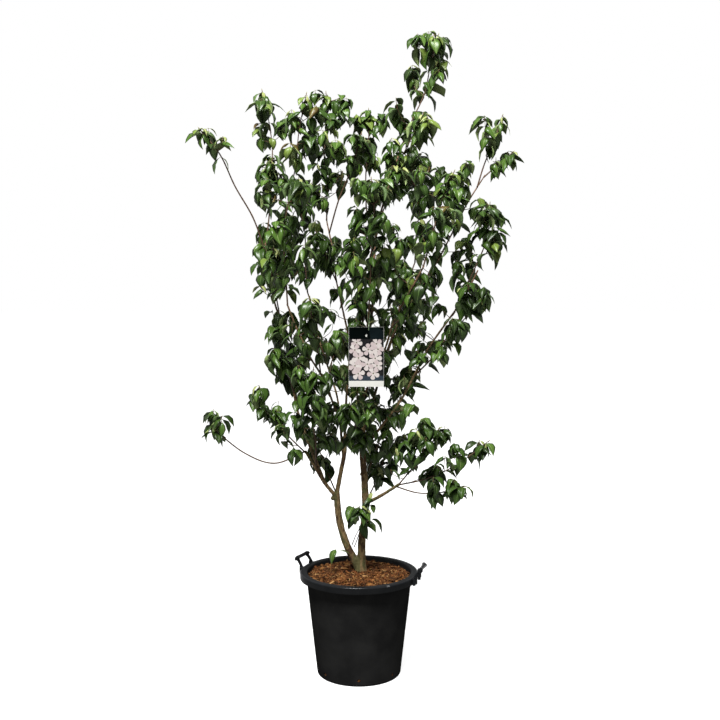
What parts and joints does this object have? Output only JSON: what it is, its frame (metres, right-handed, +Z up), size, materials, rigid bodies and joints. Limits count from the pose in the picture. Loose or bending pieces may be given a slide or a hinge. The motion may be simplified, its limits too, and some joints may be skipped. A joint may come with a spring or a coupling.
{
  "type": "flowering dogwood tree in a pot",
  "caption": "Multi-stemmed dogwood in full leaf, slender upright boughs with drooping leaf sprays, in a black nursery pot with two carrying handles and a hanging picture tag.",
  "frame": {"origin": "centre of the pot's flat underside, on the floor", "axes": "+Z up along the stems; -Y is the front, the side the tag hangs on; +X to the right seen from the front"},
  "size_m": [1.5122, 1.017, 2.8287],
  "materials": {
    "pot_plastic": "moulded black plastic, softly glossy, a little dusty",
    "mulch": "loose brown bark chips over potting soil",
    "bark": "olive-brown bark with grey and mossy patches",
    "leaf": "dark green leaves, satin above and paler beneath",
    "tag_card": "printed card under a clear film",
    "tag_loop": "thin green plastic strap"
  },
  "bodies": {
    "root": {"bough_back": "bark", "bough_back_centre": "bark", "bough_back_left": "bark", "bough_back_right": "bark", "bough_centre": "bark", "bough_front": "bark", "bough_front_left": "bark", "bough_front_right": "bark", "bough_left": "bark", "bough_left_inner": "bark", "bough_left_outer": "bark", "bough_low_right": "bark", "bough_right": "bark", "bough_right_side": "bark", "label_card": "tag_card", "label_loop": "tag_loop", "leaves_back_centre_top": "leaf", "leaves_back_left_mid": "leaf", "leaves_back_left_top": "leaf", "leaves_back_low": "leaf", "leaves_back_right_low": "leaf", "leaves_back_right_top": "leaf", "leaves_back_top": "leaf", "leaves_centre_mid": "leaf", "leaves_centre_upper": "leaf", "leaves_centre_whip": "leaf", "leaves_crown_top": "leaf", "leaves_far_left_whip": "leaf", "leaves_far_right_tip": "leaf", "leaves_far_right_up": "leaf", "leaves_front_left_low": "leaf", "leaves_front_left_top": "leaf", "leaves_front_right_low": "leaf", "leaves_front_right_top": "leaf", "leaves_front_top": "leaf", "leaves_left_back_low": "leaf", "leaves_left_back_mid": "leaf", "leaves_left_knee": "leaf", "leaves_left_side_low": "leaf", "leaves_left_side_mid": "leaf", "leaves_left_top": "leaf", "leaves_low_back": "leaf", "leaves_low_centre": "leaf", "leaves_low_left_front": "leaf", "leaves_low_left_spray": "leaf", "leaves_low_left_whip": "leaf", "leaves_low_right_spray": "leaf", "leaves_low_right_up": "leaf", "leaves_low_right_whip": "leaf", "leaves_right_inner": "leaf", "leaves_right_mid": "leaf", "leaves_right_side_back": "leaf", "leaves_right_side_low": "leaf", "leaves_right_side_top": "leaf", "leaves_stem_sprig": "leaf", "pot": "pot_plastic", "pot_handle_left": "pot_plastic", "pot_handle_right": "pot_plastic", "soil": "mulch", "trunk": "bark"}
  },
  "joints": []
}
